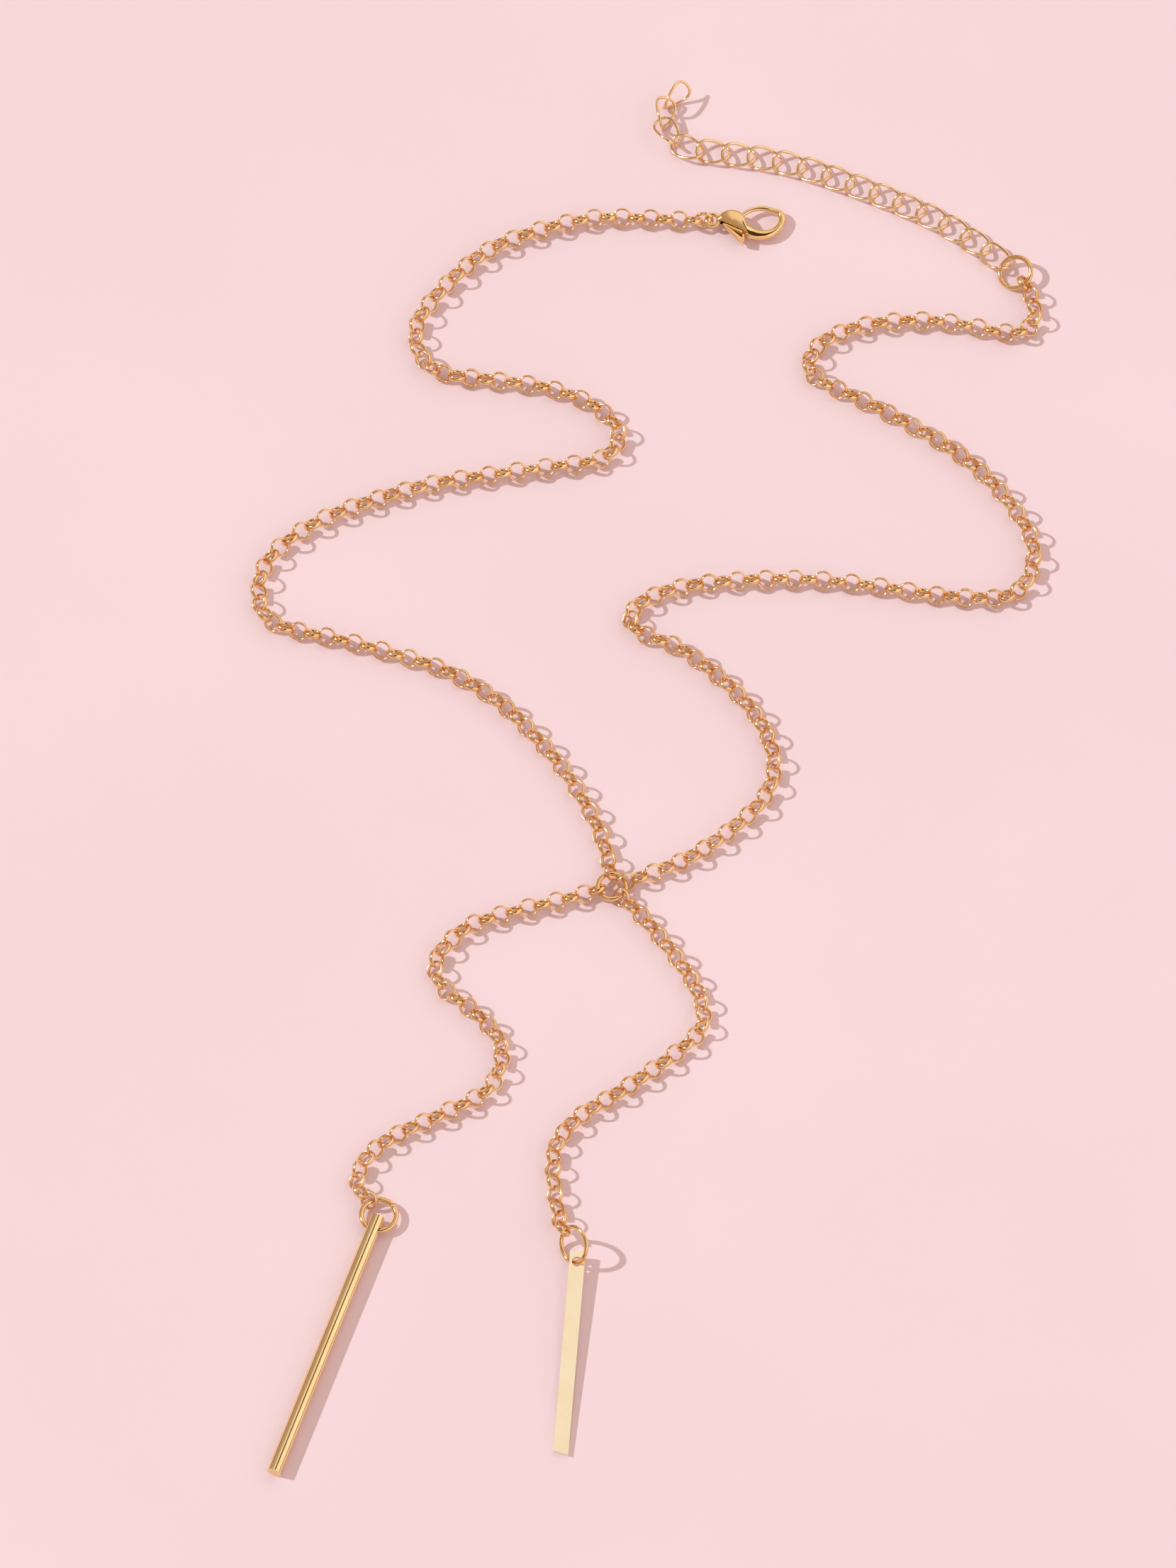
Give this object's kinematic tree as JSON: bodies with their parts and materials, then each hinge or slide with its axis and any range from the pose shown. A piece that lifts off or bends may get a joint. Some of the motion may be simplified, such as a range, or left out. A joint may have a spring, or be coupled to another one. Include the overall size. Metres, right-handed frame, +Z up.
{
  "type": "y necklace",
  "caption": "Y-shaped chain necklace lying open: round belcher links, curb extender, sprung clasp and two bar pendants, one round and one flat.",
  "frame": {"origin": "on the surface that the necklace lies on, under the middle of its box", "axes": "+Z up from the surface; +Y from the pendants towards the clasp and the extender, along the necklace's length; +X to the side of the extender's ring"},
  "size_m": [0.1085, 0.2114, 0.0046],
  "materials": {
    "gold": "polished",
    "pale_gold": "polished"
  },
  "bodies": {
    "chain": {"strand_left": "gold", "strand_right": "gold", "tail_left": "gold", "tail_right": "gold", "junction_ring": "gold", "extender": "pale_gold", "extender_ring": "gold", "clasp_body": "gold", "clasp_link": "gold", "bar_ring_left": "gold", "bar_long": "gold", "bar_ring_right": "gold", "bar_short": "pale_gold"},
    "lever": {"clasp_lever": "gold"}
  },
  "joints": [
    {"name": "lever_hinge", "type": "hinge", "parent": "chain", "child": "lever", "pos_m": [0.01306, 0.08497, 0.00117], "axis": [-0.0523, 0.0027, -0.9986], "range_deg": [0, 20], "stiffness_Nm_per_rad": 0.004, "springref_deg": -20.05}
  ]
}
